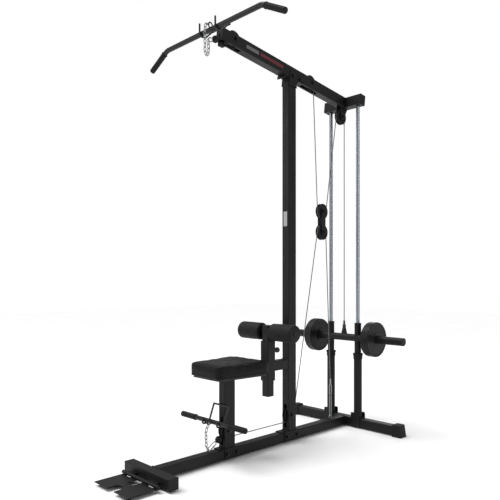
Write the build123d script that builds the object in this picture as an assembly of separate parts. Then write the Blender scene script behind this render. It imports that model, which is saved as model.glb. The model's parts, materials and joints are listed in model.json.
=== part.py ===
from build123d import *
import os
from math import acos, atan2, cos, degrees, hypot, radians, sin

os.makedirs("parts", exist_ok=True)

# ------------------------------------------------------------------ driving dimensions (mm)
# The machine is symmetric about X = 0. Its front (footplate, seat) is at -Y, +Z is up,
# and the origin is on the floor under the middle of the bounding box.

# stations along Y, measured from the middle of the mast
foot_reach = 1100.0
tail_reach = 601.0
mast_y = (foot_reach - tail_reach) / 2
front_beam_y = mast_y - 903.0
foot_hinge_y = mast_y - 955.0
seat_post_y = mast_y - 456.0
thigh_y = mast_y - 167.0
block_y = mast_y + 282.0
anchor_y = mast_y + 364.0
rod_y = mast_y + 500.0
low_pulley_y = mast_y - 2.0
seat_pulley_y = mast_y - 460.0
lat_bar_y = mast_y - 563.0
row_bar_y = mast_y - 550.0

# tubes
beam = 50.0
beam_wall = 2.5
beam_low = 8.0
beam_top = beam_low + beam
foot_top = 66.0
corner = 4.0
plate_t = 4.0
front_half = 167.0
rear_half = 392.0
mast_x = 48.0
mast_depth = 62.0
post_x = 46.0
post_depth = 68.0
seat_post_top = 405.0

# boom, which rises towards the front
boom_tilt = 7.2
boom_w = 50.0
boom_h = 62.0
boom_z = 2010.0
boom_half = 504.0
top_half = 130.0
saddle_bolts = (2, 62)
saddle_bolt_w = -18.0
boom_plane = Plane(
    origin=(0, mast_y, boom_z),
    x_dir=(1, 0, 0),
    z_dir=(0, sin(radians(boom_tilt)), cos(radians(boom_tilt))),
)

# guide rods and their posts
rod_x_at = 100.0
rod_r = 11.0
post_r = 24.0
post_top = 432.0
bumper_t = 10.0
rod_top = 1915.0

# pulleys and cable
pulley_r = 45.0
pulley_w = 18.0
pitch_r = 38.5
boom_pitch_r = 33.0
cable_r = 2.5
axle_r = 5.0
running = 0.05
boom_pulley_lift = 8.0
front_pulley_u = -422.0
rear_pulley_u = 172.0
top_pulley_z = 1862.0
block_upper_z = 1277.0
block_lower_z = 1157.0
low_pulley_z = 145.0
ball_r = 17.5

# weight carriage
carriage_z = 532.0
carriage_low = post_top + bumper_t + 2.0
carriage_high = 622.0
carriage_tube_r = 20.0
bar_r = 21.5
weight_sleeve_r = 23.0
stored_plate_r = 22.5
sleeve_cap_r = 22.4
weight_sleeve_end = 404.0
collar_x = (178.0, 184.0)
plate_r = 101.0
plate_thick = 50.0
plate_gap = 0.3
free_sleeve_x = collar_x[1] + plate_thick + 2 * plate_gap

# thigh unit
thigh_tube = 45.0
thigh_holder = 56.0
thigh_gap = 0.5
holder_z = (351.0, 559.0)
thigh_low = 268.5
thigh_high = 641.0
roller_z = 607.0
roller_r = 45.0
roller_x = (37.0, 192.0)
roller_axle_r = 10.0
pin_z = 505.0

# seat
seat_low = 418.0
seat_high = 481.0
seat_front_y = mast_y - 605.0
seat_rear_y = mast_y - 285.0
seat_front_half = 115.0
seat_rear_half = 142.0

# handles
lat_bar_z = 2078.0
lat_bar_r = 12.5
lat_grip_r = 14.5
lat_bend_x = 350.0
lat_end_x = 486.0
lat_drop = 73.0
lat_grip_start = 24.0
row_bar_z = 200.0
row_bar_r = 11.0
row_grip_r = 14.0
row_half = 235.0
row_grip = 110.0
hook_r = 4.5

# footplate
foot_z = (14.0, 18.0)
foot_half = 131.0
foot_tube_r = 8.0
foot_pin_r = 5.0

# chain
chain_wire = 2.0
chain_pitch = 18.0
chain_half_width = 6.0


# ------------------------------------------------------------------ helpers
def span(x, y, z):
    """A box between two limits on each axis."""
    size = (x[1] - x[0], y[1] - y[0], z[1] - z[0])
    middle = ((x[0] + x[1]) / 2, (y[0] + y[1]) / 2, (z[0] + z[1]) / 2)
    return Pos(*middle) * Box(*size)


def rod_along_x(x0, x1, y, z, r):
    return Pos((x0 + x1) / 2, y, z) * Rot(0, 90, 0) * Cylinder(r, x1 - x0)


def outwards(side, near, far, y, z, r):
    """A rod along X on one side of the machine, between two distances from its middle."""
    x0, x1 = sorted((side * near, side * far))
    return rod_along_x(x0, x1, y, z, r)


def rod_along_y(x, y0, y1, z, r):
    return Pos(x, (y0 + y1) / 2, z) * Rot(90, 0, 0) * Cylinder(r, y1 - y0)


def rod_along_z(x, y, z0, z1, r):
    return Pos(x, y, (z0 + z1) / 2) * Cylinder(r, z1 - z0)


def square_tube(width, depth, wall, length):
    """A rectangular tube along +Z from the origin, with rounded corners."""
    outer = RectangleRounded(width, depth, corner)
    inner = RectangleRounded(width - 2 * wall, depth - 2 * wall, max(corner - wall, 1.0))
    return extrude(outer - inner, length)


def tube_z(x, y, z0, z1, width, depth, wall=beam_wall):
    return Pos(x, y, z0) * square_tube(width, depth, wall, z1 - z0)


def tube_x(x0, x1, y, z, depth, height, wall=beam_wall):
    return Pos(x0, y, z) * Rot(0, 90, 0) * square_tube(height, depth, wall, x1 - x0)


def tube_y(y0, y1, z, width, height, wall=beam_wall):
    return Pos(0, y0, z) * Rot(-90, 0, 0) * square_tube(width, height, wall, y1 - y0)


def hex_x(x0, x1, y, z, across):
    """A hexagonal head or nut along X."""
    face = RegularPolygon(across / 2, 6, major_radius=False)
    return Pos(x0, y, z) * Rot(0, 90, 0) * extrude(face, x1 - x0)


def cross_bolt(y, z, half, r=axle_r, across=17.0):
    """A bolt across the machine with a head, a nut and a washer on each side."""
    washer = 1.6
    head = 7.0
    shank = rod_along_x(-half - washer - head, half + washer + head + 3, y, z, r)
    body = shank + hex_x(half + washer, half + washer + head, y, z, across)
    body += hex_x(-half - washer - head, -half - washer, y, z, across)
    for s in (-1, 1):
        body += outwards(s, half, half + washer, y, z, across * 0.62)
    return body


def bent_rod(points, radius_of_bends, r):
    """A round bar along straight runs that bend with the given radius."""
    path = FilletPolyline(*points, radius=radius_of_bends)
    return sweep(Plane(origin=path @ 0, z_dir=path % 0) * Circle(r), path=path)


def local(u, w):
    """The (y, z) of a point on the boom's own axes: u rearwards, w upwards from its centreline."""
    t = radians(boom_tilt)
    return (mast_y + u * cos(t) + w * sin(t), boom_z - u * sin(t) + w * cos(t))


def group(*solids):
    return Compound(children=list(solids))


# ------------------------------------------------------------------ cable geometry in the X = 0 plane
def straight(a, b, r=cable_r):
    """A round cable between two (y, z) points."""
    start = Vector(0, a[0], a[1])
    way = Vector(0, b[0] - a[0], b[1] - a[1])
    return extrude(Plane(origin=start, z_dir=way) * Circle(r), way.length)


def wrapped(centre, start, end, turn):
    """The cable round a pulley from start to end; turn is +1 for +Y towards +Z."""
    a0 = atan2(start[1] - centre[1], start[0] - centre[0])
    a1 = atan2(end[1] - centre[1], end[0] - centre[0])
    swept = (degrees(a1 - a0) * turn) % 360
    way = Vector(0, -sin(a0) * turn, cos(a0) * turn)
    face = Plane(origin=(0, start[0], start[1]), z_dir=way) * Circle(cable_r)
    return revolve(face, axis=Axis((0, centre[0], centre[1]), (turn, 0, 0)), revolution_arc=swept)


def crossing(c1, r1, c2, r2, side):
    """Where a cable touches two pulleys when it crosses between them; side is that of the first."""
    dy, dz = c2[0] - c1[0], c2[1] - c1[1]
    away = acos((r1 + r2) / hypot(dy, dz))
    for sign in (-1, 1):
        a = atan2(dz, dy) + sign * away
        n = (cos(a), sin(a))
        if n[0] * side > 0:
            return (c1[0] + r1 * n[0], c1[1] + r1 * n[1]), (c2[0] - r2 * n[0], c2[1] - r2 * n[1])


def touching(point, centre, r, side):
    """Where a cable from a loose point touches a pulley; side picks the tangent by its (y, z) direction."""
    dy, dz = point[0] - centre[0], point[1] - centre[1]
    away = acos(r / hypot(dy, dz))
    best = None
    for sign in (-1, 1):
        a = atan2(dz, dy) + sign * away
        lean = cos(a) * side[0] + sin(a) * side[1]
        if best is None or lean > best[0]:
            best = (lean, (centre[0] + r * cos(a), centre[1] + r * sin(a)))
    return best[1]


front_pulley = local(front_pulley_u, boom_pulley_lift)
rear_pulley = local(rear_pulley_u, boom_pulley_lift)
top_pulley = (rod_y - pitch_r, top_pulley_z)
block_upper = (block_y, block_upper_z)
block_lower = (block_y, block_lower_z)
mast_pulley = (low_pulley_y, low_pulley_z)
seat_pulley = (seat_pulley_y, low_pulley_z)
low_line_z = low_pulley_z - pitch_r

high_a, high_b = crossing(block_upper, pitch_r, rear_pulley, boom_pitch_r, -1)
high_c, high_d = crossing(block_upper, pitch_r, top_pulley, pitch_r, 1)
low_a, low_b = crossing(block_lower, pitch_r, mast_pulley, pitch_r, -1)
anchor_top = (anchor_y, 262.0)
low_c = touching(anchor_top, block_lower, pitch_r, (1, 0))

boom_front = local(-boom_half - 5, 0)[0]
lat_ball = (boom_front - ball_r - 9, 2042.0)
row_ball = (seat_post_y - post_depth / 2 - ball_r - 3, low_line_z)
lat_touch = touching(lat_ball, front_pulley, boom_pitch_r, (-1, 1))
over_front = local(front_pulley_u, boom_pulley_lift + boom_pitch_r)
over_rear = local(rear_pulley_u, boom_pulley_lift + boom_pitch_r)
ferrule_top = carriage_z + 99.0


# ------------------------------------------------------------------ base
bolt_z = 34.0
bolt_r = 4.0
bolt_places = (mast_y + 36, mast_y - 46, seat_post_y + 40, seat_post_y - 24)


def bolt_holes():
    return [rod_along_x(-50, 50, y, bolt_z, bolt_r + 0.1) for y in bolt_places]


def frame_bolts():
    """The bolts that hold the uprights' channels to the base beam, and the boom in its saddle."""
    low = [cross_bolt(y, bolt_z, beam / 2 + plate_t + 0.1, bolt_r, 14.0) for y in bolt_places]
    high = [cross_bolt(*local(u, saddle_bolt_w), boom_w / 2 + plate_t + 0.1) for u in saddle_bolts]
    return group(*low, *high)


def front_crossbeam():
    return tube_x(-front_half, front_half, front_beam_y, beam_low + beam / 2, beam, beam)


def base_beam():
    body = tube_y(front_beam_y + beam / 2, rod_y - beam / 2, beam_low + beam / 2, beam, beam)
    for hole in bolt_holes():
        body -= hole
    return body


def rear_crossbeam():
    return tube_x(-rear_half, rear_half, rod_y, beam_low + beam / 2, beam, beam)


def rubber_foot(side):
    """A flared rubber cap that a crossbeam's end stands in."""
    inner = side * (rear_half - 42)
    outer = side * (rear_half + 6)
    middle = (inner + outer) / 2
    low = Pos(middle + side * 3, rod_y, 0) * RectangleRounded(60, 64, 6)
    high = Pos(middle, rod_y, foot_top) * RectangleRounded(48, 58, 6)
    shell = loft([low, high])
    room_x = sorted((inner - side * 20, side * (rear_half + 0.2)))
    edge = beam / 2 + 0.2
    return shell - span(room_x, (rod_y - edge, rod_y + edge), (beam_low - 0.2, beam_top + 0.2))


def front_glide(side):
    pad = Pos(side * 90, front_beam_y, beam_low / 2) * Box(60, 34, beam_low)
    return chamfer(pad.edges().group_by(Axis.Z)[0], 2)


def rubber_feet():
    return group(rubber_foot(-1), rubber_foot(1), front_glide(-1), front_glide(1))


def base_bracket(front, back, lip):
    """A channel over the base beam: a top plate with a lip in front, and two side plates."""
    half = beam / 2 + plate_t
    top = span((-half, half), (lip, back), (beam_top, beam_top + plate_t))
    body = top
    for s in (-1, 1):
        body += span(sorted((s * (beam / 2 + 0.1), s * half)), (front, back), (beam_low + 2, beam_top))
    body = fillet(body.edges().filter_by(Axis.Y).group_by(Axis.Z)[-1], 2.5)
    for hole in bolt_holes():
        body -= hole
    return body


def base_brackets():
    mast_one = base_bracket(mast_y - 65, mast_y + 50, mast_y - 80)
    seat_one = base_bracket(seat_post_y - 38, seat_post_y + 56, seat_post_y - 62)
    return group(mast_one, seat_one)


# ------------------------------------------------------------------ mast, boom, top crossbeam
def above_boom(w):
    """Everything above a height on the boom's own axes, for cutting."""
    return boom_plane * Pos(0, 0, w + 150) * Box(300, 700, 300)


def mast():
    low = beam_top + plate_t
    body = tube_z(0, mast_y, low, boom_z + 20, mast_x, mast_depth)
    body -= above_boom(-boom_h / 2 - plate_t)
    body -= span((-11, 11), (mast_y - 60, mast_y + 60), (78, 204))
    body -= rod_along_x(-40, 40, mast_pulley[0], mast_pulley[1], axle_r + 0.1)
    return body


def boom_saddle():
    """A channel welded on the mast's head that the boom is bolted into."""
    half = boom_w / 2
    sole = Pos(0, 16, -boom_h / 2 - plate_t / 2) * Box(boom_w + 2 * plate_t, 152, plate_t)
    body = sole + Pos(0, -58, -boom_h / 2 - 9) * Box(boom_w + 2 * plate_t, plate_t, 18)
    for s in (-1, 1):
        cheek = Pos(s * (half + plate_t / 2 + 0.05), 35, -36) * Box(plate_t - 0.1, 114, 78)
        cheek -= Pos(s * half, 96, -75) * Rot(-36, 0, 0) * Box(20, 120, 60)
        body += cheek
    for u in saddle_bolts:
        body -= Pos(0, u, saddle_bolt_w) * Rot(0, 90, 0) * Cylinder(axle_r + 0.1, 80)
    return boom_plane * body


def boom():
    length = 2 * boom_half - beam / 2
    body = Pos(0, -boom_half, 0) * Rot(-90, 0, 0) * square_tube(boom_w, boom_h, beam_wall, length)
    slot = pulley_w + 6
    slot_end = front_pulley_u + 50
    slot_start = -boom_half - 10
    body -= Pos(0, front_pulley_u, 30) * Box(slot, 96, 40)
    body -= Pos(0, rear_pulley_u, 30) * Box(slot, 96, 40)
    body -= Pos(0, (slot_start + slot_end) / 2, -30) * Box(slot, slot_end - slot_start, 40)
    body -= Pos(0, rear_pulley_u - 10, -30) * Box(slot, 142, 40)
    for u in (front_pulley_u, rear_pulley_u):
        body -= Pos(0, u, boom_pulley_lift) * Rot(0, 90, 0) * Cylinder(axle_r + 0.1, 80)
    for u in saddle_bolts:
        body -= Pos(0, u, saddle_bolt_w) * Rot(0, 90, 0) * Cylinder(axle_r + 0.1, 80)
    return boom_plane * body


def top_crossbeam():
    body = Pos(-top_half, boom_half, 0) * Rot(0, 90, 0) * square_tube(boom_h, beam, beam_wall, 2 * top_half)
    body = boom_plane * body
    for s in (-1, 1):
        body -= rod_along_z(s * rod_x_at, rod_y, 1850, rod_top + 0.5, rod_r + 0.2)
    return body


def end_plug(x, y_size, z_size):
    """A flush plug for a tube's end that faces along X, with a shallow crown and a spigot."""
    side = 1 if x > 0 else -1
    face = Pos(side * 2.5, 0, 0) * Box(5, y_size, z_size)
    face = chamfer(face.faces().sort_by(Axis.X)[-1 if side > 0 else 0].edges(), 1.5)
    spigot = Pos(-side * 8, 0, 0) * Box(16, y_size - 2 * beam_wall - 1.2, z_size - 2 * beam_wall - 1.2)
    return face + spigot


def tube_end_caps():
    """Plastic plugs for the front crossbeam, the top crossbeam and the boom's front end."""
    caps = []
    for s in (-1, 1):
        caps.append(Pos(s * front_half, front_beam_y, beam_low + beam / 2) * end_plug(s, beam, beam))
        caps.append(boom_plane * Pos(s * top_half, boom_half, 0) * end_plug(s, beam, boom_h))
    nose = Pos(0, -boom_half - 2.5, 0) * Box(boom_w, 5, boom_h)
    nose = chamfer(nose.faces().sort_by(Axis.Y)[0].edges(), 1.5)
    nose -= Pos(0, -boom_half - 2.5, -boom_h / 4 - 2) * Box(9, 10, boom_h / 2 + 4)
    caps.append(boom_plane * nose)
    return group(*caps)


def nose_roller():
    """A small fixed guide roller under the boom's front end, between two lugs."""
    y, z = local(-boom_half + 22, -boom_h / 2 - 8)
    body = rod_along_x(-10, 10, y, z, 15) + rod_along_x(-30, 30, y, z, 4)
    for s in (-1, 1):
        lug = Pos(s * 23, -boom_half + 22, -boom_h / 2 - 6) * Box(4, 24, 11.8)
        body += boom_plane * lug
    return body


# ------------------------------------------------------------------ guide rods
def guide_rods():
    return group(*[rod_along_z(s * rod_x_at, rod_y, beam_top + 6, rod_top, rod_r) for s in (-1, 1)])


def rod_posts():
    posts = []
    for s in (-1, 1):
        tube = rod_along_z(s * rod_x_at, rod_y, beam_top + plate_t, post_top, post_r)
        posts.append(tube - rod_along_z(s * rod_x_at, rod_y, 0, 600, post_r - 2.5))
    return group(*posts)


def rod_socket(side):
    """A channel over the rear crossbeam that holds the foot of a post."""
    x = (side * rod_x_at - 31, side * rod_x_at + 31)
    edge = beam / 2
    web = span(x, (rod_y - edge - 0.1, rod_y + edge + 0.1), (beam_top + 0.1, beam_top + plate_t))
    front = span(x, (rod_y - edge - plate_t, rod_y - edge - 0.1), (beam_low + 1, 90))
    back = span(x, (rod_y + edge + 0.1, rod_y + edge + plate_t), (beam_low + 1, 90))
    front = fillet(front.edges().filter_by(Axis.Y), 5)
    back = fillet(back.edges().filter_by(Axis.Y), 5)
    collar = rod_along_z(side * rod_x_at, rod_y, beam_top + 6, 90, edge - 0.05)
    collar -= rod_along_z(side * rod_x_at, rod_y, 0, 120, post_r + 0.1)
    body = web + front + back + collar
    return body - rod_along_z(side * rod_x_at, rod_y, beam_top - 5, beam_top + plate_t + 2, rod_r + 0.1)


def rod_sockets():
    return group(rod_socket(-1), rod_socket(1))


def bumper(side):
    """A rubber bumper on the head of a post, with a flange that the carriage lands on."""
    x = side * rod_x_at
    skirt = rod_along_z(x, rod_y, post_top - 24, post_top, post_r + 3)
    skirt -= rod_along_z(x, rod_y, post_top - 30, post_top, post_r + 0.1)
    flange = rod_along_z(x, rod_y, post_top, post_top + bumper_t, 30)
    flange = fillet(flange.edges().filter_by(GeomType.CIRCLE).sort_by(Axis.Z)[-1], 2.5)
    body = skirt + flange
    return body - rod_along_z(x, rod_y, post_top - 5, post_top + 30, rod_r + 0.3)


def bumpers():
    return group(bumper(-1), bumper(1))


# ------------------------------------------------------------------ seat and thigh unit, fixed parts
def seat_post():
    body = tube_z(0, seat_post_y, beam_top + plate_t, seat_post_top, post_x, post_depth)
    head = span((-55, 55), (seat_post_y - 75, seat_post_y + 75), (seat_post_top, seat_post_top + plate_t))
    head = fillet(head.edges().filter_by(Axis.Z), 10)
    body -= span((-11, 11), (seat_post_y - 60, seat_post_y + 10), (76, 212))
    body -= span((-11, 11), (seat_post_y + 10, seat_post_y + 60), (92, 198))
    body -= rod_along_x(-40, 40, seat_pulley[0], seat_pulley[1], axle_r + 0.1)
    body += head
    for x in (-40, 40):
        for y in (-60, 60):
            body -= rod_along_z(x, seat_post_y + y, seat_post_top - 5, seat_post_top + 10, 4.2)
    return body


def seat_outline(inset, radius):
    """The seat's plan, wider at the back, with rounded corners."""
    front, back = seat_front_half - inset, seat_rear_half - inset
    near, far = seat_front_y + inset, seat_rear_y - inset
    sheet = make_face(Polyline((-front, near), (front, near), (back, far), (-back, far), close=True))
    return fillet(sheet.vertices(), radius)


def seat_board():
    under = seat_post_top + plate_t
    body = Pos(0, 0, under) * extrude(seat_outline(12, 22), seat_low - under)
    for x in (-40, 40):
        for y in (-60, 60):
            body -= rod_along_z(x, seat_post_y + y, seat_post_top, seat_low + 1, 4.2)
    return body


def seat_pad():
    body = Pos(0, 0, seat_low) * extrude(seat_outline(0, 34), seat_high - seat_low)
    return fillet(body.edges().group_by(Axis.Z)[-1], 9)


def thigh_holder_part():
    """The beam from the mast and the square sleeve that guides the thigh upright."""
    half = thigh_holder / 2
    inner = thigh_tube / 2 + thigh_gap
    beam_z = 425.0
    arm = tube_y(thigh_y + half, mast_y - mast_depth / 2, beam_z, mast_x, 52)
    body = tube_z(0, thigh_y, holder_z[0], holder_z[1], thigh_holder, thigh_holder, half - inner)
    body += arm
    body -= rod_along_y(0, thigh_y + 10, thigh_y + half + 5, pin_z, 8.1)
    return body


def pin_housing():
    """The threaded barrel of the pull pin, through the sleeve's rear wall."""
    start = thigh_y + thigh_tube / 2 + thigh_gap + 0.2
    barrel = rod_along_y(0, start, thigh_y + thigh_holder / 2 + 16, pin_z, 8.0)
    nut = extrude(RegularPolygon(11, 6, major_radius=False), 7)
    body = barrel + Pos(0, thigh_y + thigh_holder / 2 + 0.2, pin_z) * Rot(-90, 0, 0) * nut
    return body - rod_along_y(0, start - 1, thigh_y + 80, pin_z, 4.0 + running)


def pull_pin():
    """The pin with its ball knob; its nose ends just outside the upright."""
    start = thigh_y + thigh_tube / 2 + 0.4
    end = thigh_y + thigh_holder / 2 + 34
    pin = rod_along_y(0, start, end, pin_z, 4.0)
    neck = rod_along_y(0, thigh_y + thigh_holder / 2 + 17, end, pin_z, 8.5)
    knob = Pos(0, end + 8, pin_z) * Sphere(15)
    return pin + neck + knob


# ------------------------------------------------------------------ thigh unit, moving parts
def thigh_upright():
    body = tube_z(0, thigh_y, thigh_low, thigh_high, thigh_tube, thigh_tube)
    inner = thigh_tube / 2 - 2
    for z in (thigh_low, thigh_high - 4):
        body += span((-inner, inner), (thigh_y - inner, thigh_y + inner), (z, z + 4))
    body -= rod_along_x(-40, 40, thigh_y, roller_z, roller_axle_r)
    for n in range(4):
        body -= rod_along_y(0, thigh_y, thigh_y + 40, pin_z - 25 * n, 4.6)
    return body


def roller_axle():
    """The tube across the upright that both foam rollers turn on, with a collar and a washer each side."""
    body = rod_along_x(-roller_x[1] - 2, roller_x[1] + 2, thigh_y, roller_z, roller_axle_r)
    for s in (-1, 1):
        body += outwards(s, 23, 36, thigh_y, roller_z, 17)
        body += outwards(s, roller_x[1] + 1, roller_x[1] + 5, thigh_y, roller_z, 15)
    return body


def roller(side):
    x0, x1 = sorted((side * roller_x[0], side * roller_x[1]))
    body = rod_along_x(x0, x1, thigh_y, roller_z, roller_r)
    body = fillet(body.edges().filter_by(GeomType.CIRCLE), 7)
    return body - rod_along_x(x0 - 1, x1 + 1, thigh_y, roller_z, roller_axle_r + running)


# ------------------------------------------------------------------ carriage
def carriage():
    """The bar that carries the plates, with a sleeve for each guide rod and a lug for the cable."""
    body = rod_along_x(-collar_x[0], collar_x[0], rod_y, carriage_z, bar_r)
    for s in (-1, 1):
        body += rod_along_z(s * rod_x_at, rod_y, carriage_low, carriage_high, carriage_tube_r)
        body += outwards(s, *collar_x, rod_y, carriage_z, 31)
        body += outwards(s, collar_x[0], free_sleeve_x, rod_y, carriage_z, stored_plate_r)
        body += outwards(s, free_sleeve_x, weight_sleeve_end, rod_y, carriage_z, weight_sleeve_r)
    lug = make_face(Polyline((-21, 0), (21, 0), (9, 44), (-9, 44), close=True))
    lug = fillet(lug.vertices().sort_by(Axis.Y)[-2:], 7)
    lug = Plane.XZ * (lug - Pos(0, 31) * Circle(6.5))
    body += Pos(0, rod_y + 3, carriage_z + bar_r - 3) * extrude(lug, 6)
    for s in (-1, 1):
        body -= rod_along_z(s * rod_x_at, rod_y, 300, 800, carriage_tube_r - 3)
    body -= rod_along_x(-500, -collar_x[1], rod_y, carriage_z, weight_sleeve_r - 3)
    body -= rod_along_x(collar_x[1], 500, rod_y, carriage_z, weight_sleeve_r - 3)
    return body


def carriage_bushes():
    """Plastic bushes at both ends of each sleeve, which run on the rods."""
    rings = []
    for s in (-1, 1):
        for z0, z1 in ((carriage_low, carriage_low + 40), (carriage_high - 40, carriage_high)):
            ring = rod_along_z(s * rod_x_at, rod_y, z0, z1, carriage_tube_r - 3)
            rings.append(ring - rod_along_z(s * rod_x_at, rod_y, z0 - 1, z1 + 1, rod_r + running))
    return group(*rings)


def sleeve_caps():
    caps = []
    for s in (-1, 1):
        face = outwards(s, weight_sleeve_end, weight_sleeve_end + 4, rod_y, carriage_z, sleeve_cap_r)
        spigot = outwards(s, weight_sleeve_end - 25, weight_sleeve_end, rod_y, carriage_z, weight_sleeve_r - 3)
        caps.append(face + spigot)
    return group(*caps)


def cable_clevis():
    """The clevis and pin between the cable's ferrule and the carriage's lug."""
    hole_z = carriage_z + bar_r - 3 + 31
    body = span((-8, 8), (rod_y - 6.4, rod_y + 6.4), (hole_z + 16, hole_z + 26))
    body += rod_along_z(0, rod_y, hole_z + 24, ferrule_top, 6)
    body += rod_along_y(0, rod_y - 9, rod_y + 9, hole_z, 3.5)
    for s in (-1, 1):
        body += span((-8, 8), sorted((rod_y + s * 3.4, rod_y + s * 6.4)), (hole_z - 9, hole_z + 24))
    return body


def weight_plate(side):
    """A cast plate with a rim, a shallow dish on both faces and a hub."""
    half = plate_thick / 2
    bore = weight_sleeve_r + plate_gap
    points = [(bore, -half), (40, -half), (43, -half + 2.5)]
    points += [(88, -half + 2.5), (92, -half), (plate_r, -half)]
    points += [(r, -w) for r, w in reversed(points)]
    section = make_face(Polyline(*points, close=True))
    body = revolve(section, axis=Axis.Y)
    body = fillet(body.edges().filter_by(GeomType.CIRCLE).filter_by(lambda e: e.radius > plate_r - 1), 4)
    middle = side * (collar_x[1] + plate_gap + half)
    return Pos(middle, rod_y, carriage_z) * Rot(0, 0, 90) * body


# ------------------------------------------------------------------ pulleys and block
def pulley(centre, pitch=pitch_r):
    """A grooved wheel with a hub and dished faces, turning about X on a plain bore."""
    half = pulley_w / 2
    groove = pitch - cable_r - 0.3
    side = [(axle_r + running, half + 1), (12, half + 1), (14, half - 2), (26, half - 2), (28, half)]
    rim = [(pulley_r, half), (pulley_r, half - 1.5), (groove, 3.2)]
    profile = side + rim
    profile += [(r, -x) for r, x in reversed(profile)]
    body = revolve(make_face(Polyline(*profile, close=True)), axis=Axis.Y)
    return Pos(0, centre[0], centre[1]) * Rot(0, 0, 90) * body


def axle(centre, half):
    """A pulley's bolt with a spacer tube each side of the wheel."""
    body = cross_bolt(centre[0], centre[1], half)
    inner = pulley_w / 2 + 1.3
    for s in (-1, 1):
        body += outwards(s, inner, half - beam_wall - 0.1, centre[0], centre[1], 9)
    return body


def pulley_axles():
    bolts = [axle(c, boom_w / 2 + 0.1) for c in (front_pulley, rear_pulley)]
    bolts.append(axle(mast_pulley, mast_x / 2 + 0.1))
    bolts.append(axle(seat_pulley, post_x / 2 + 0.1))
    bolts.append(cross_bolt(top_pulley[0], top_pulley[1], 17.1))
    return group(*bolts)


def top_pulley_cheeks():
    """Two plates under the top crossbeam that hold the rear pulley."""
    y, z = top_pulley
    roof = 1912.0
    parts = []
    for s in (-1, 1):
        outline = Polyline((y - 20, z), (y - 16, roof + 12), (y + 46, roof), (y + 20, z), close=True)
        plate = extrude(Plane.YZ * make_face(outline), 4) + rod_along_x(0, 4, y, z, 20)
        parts.append(Pos(s * 15 - 2, 0, 0) * plate)
    body = parts[0] + parts[1]
    body -= rod_along_x(-40, 40, y, z, axle_r + 0.1)
    return body - boom_plane * Pos(0, 0, 150 - boom_h / 2 - 0.1) * Box(200, 1200, 300)


def block_frame():
    """Two straps that join the floating block's pulleys, and the pulleys' bolts."""
    straps = []
    for s in (-1, 1):
        strap = span((0, 4), (block_y - 17, block_y + 17), (block_lower_z, block_upper_z))
        strap += rod_along_x(0, 4, block_y, block_lower_z, 17)
        strap += rod_along_x(0, 4, block_y, block_upper_z, 17)
        for z in (block_lower_z, block_upper_z):
            strap -= rod_along_x(-10, 10, block_y, z, axle_r + 0.1)
        straps.append(Pos(s * 13.5 - 2, 0, 0) * strap)
    bolts = [cross_bolt(block_y, z, 15.6) for z in (block_lower_z, block_upper_z)]
    return group(*straps, *bolts)


def block_cable_loops():
    """The parts of both cables that lie in the block's pulleys."""
    upper = wrapped(block_upper, high_a, high_c, 1)
    lower = wrapped(block_lower, low_c, low_a, 1)
    return group(upper, lower)


# ------------------------------------------------------------------ cables
def high_cable():
    """From the lat stopper over both boom pulleys, and the turn over the top rear pulley."""
    first = straight(lat_ball, lat_touch) + wrapped(front_pulley, lat_touch, over_front, -1)
    first += straight(over_front, over_rear) + wrapped(rear_pulley, over_rear, high_b, -1)
    down = (top_pulley[0] + pitch_r, top_pulley[1])
    return group(first - Pos(0, *lat_ball) * Sphere(ball_r), wrapped(top_pulley, high_d, down, -1))


def low_cable():
    under_mast = (mast_pulley[0], low_line_z)
    first = wrapped(mast_pulley, low_b, under_mast, -1)
    first += straight(under_mast, row_ball)
    return first - Pos(0, *row_ball) * Sphere(ball_r)


def high_cable_carriage_run():
    return straight((rod_y, top_pulley_z), (rod_y, ferrule_top))


def high_cable_block_runs():
    return group(straight(high_b, high_a), straight(high_d, high_c))


def low_cable_block_runs():
    return group(straight(low_a, low_b), straight(low_c, anchor_top))


# ------------------------------------------------------------------ chains and their links
def link(length, half_width, r):
    """A closed link along Z about the origin, in the XZ plane; length is between its end centres."""
    body = Part()
    for s in (-1, 1):
        end = Rot(90, 0, 0) * Torus(half_width, r, major_angle=180, align=None)
        if s < 0:
            end = Rot(0, 180, 0) * end
        body += Pos(0, 0, s * length / 2) * end
        body += rod_along_z(s * half_width, 0, -length / 2, length / 2, r)
    return body


def chain(points):
    """Links along a (y, z) line, every second one turned by a quarter."""
    links = []
    for n in range(len(points) - 1):
        a, b = points[n], points[n + 1]
        lean = degrees(atan2(b[0] - a[0], b[1] - a[1]))
        middle = Pos(0, (a[0] + b[0]) / 2, (a[1] + b[1]) / 2)
        reach = hypot(b[0] - a[0], b[1] - a[1])
        straight_part = reach + 2 * chain_wire - 2 * chain_half_width
        one = link(straight_part, chain_half_width, chain_wire)
        links.append(middle * Rot(-lean, 0, 0) * Rot(0, 0, 90 * (n % 2)) * one)
    return group(*links)


def spaced(line):
    """Points one chain pitch apart along a (y, z) polyline."""
    found = [line[0]]
    for n in range(len(line) - 1):
        a, b = line[n], line[n + 1]
        steps = max(1, round(hypot(b[0] - a[0], b[1] - a[1]) / chain_pitch))
        for k in range(1, steps + 1):
            found.append((a[0] + (b[0] - a[0]) * k / steps, a[1] + (b[1] - a[1]) * k / steps))
    return found


eye_r = 12.0
eye_wire = 3.0
lat_eye = (lat_bar_y, lat_bar_z + lat_bar_r + 11)
row_eye = (row_bar_y - row_bar_r - 10, row_bar_z + 2)
lat_hitch = (lat_eye[0] - eye_r + eye_wire + 0.2, lat_eye[1] + 1)
row_hitch = (row_eye[0], row_eye[1] - eye_r + eye_wire + 0.8)
lat_front = lat_bar_y - 33
lat_back = lat_bar_y - 11
lat_low_z = 1950.0
lat_clip = (lat_back, 2026.0)
row_front = row_bar_y - 40
row_clip = (row_bar_y - 26, 70.0)
anchor_clip_z = 206.0
anchor_ring = (anchor_y, beam_top + 10 + eye_r - eye_wire)


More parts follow.
